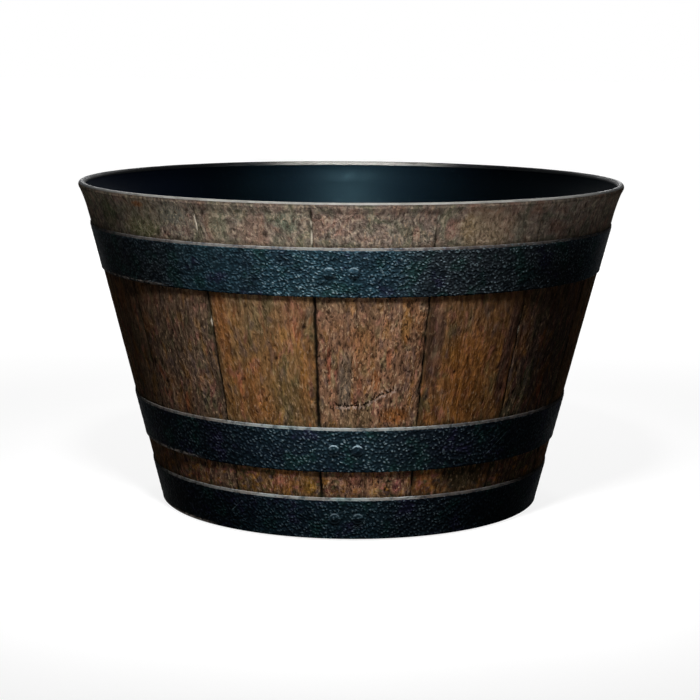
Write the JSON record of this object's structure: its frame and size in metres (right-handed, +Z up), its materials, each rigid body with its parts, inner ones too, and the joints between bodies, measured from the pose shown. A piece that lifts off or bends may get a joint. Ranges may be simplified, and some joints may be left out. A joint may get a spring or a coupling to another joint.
{
  "type": "flower pot",
  "caption": "Round resin flower pot shaped like half a barrel, with stave relief, riveted hoops and a drain plug.",
  "frame": {"origin": "on the ground, below the middle of the pot", "axes": "+Z up along the pot's axis, -Y towards the front, where the rivets are"},
  "size_m": [0.3899, 0.39, 0.232],
  "materials": {
    "stave_resin": "weathered wood grain moulded in resin, smooth and near black inside",
    "hoop_resin": "hammered black with a worn pale top edge",
    "rivet_resin": "satin black",
    "plug_rubber": "matt black"
  },
  "bodies": {
    "pot": {"pot_shell": "stave_resin", "upper_hoop": "hoop_resin", "middle_hoop": "hoop_resin", "base_hoop": "hoop_resin", "upper_rivets": "rivet_resin", "middle_rivets": "rivet_resin", "base_rivets": "rivet_resin"},
    "plug": {"drain_plug": "plug_rubber"}
  },
  "joints": [
    {"name": "plug_lift", "type": "slide", "parent": "pot", "child": "plug", "axis": [0, 0, 1], "range_m": [0, 0.24]}
  ]
}
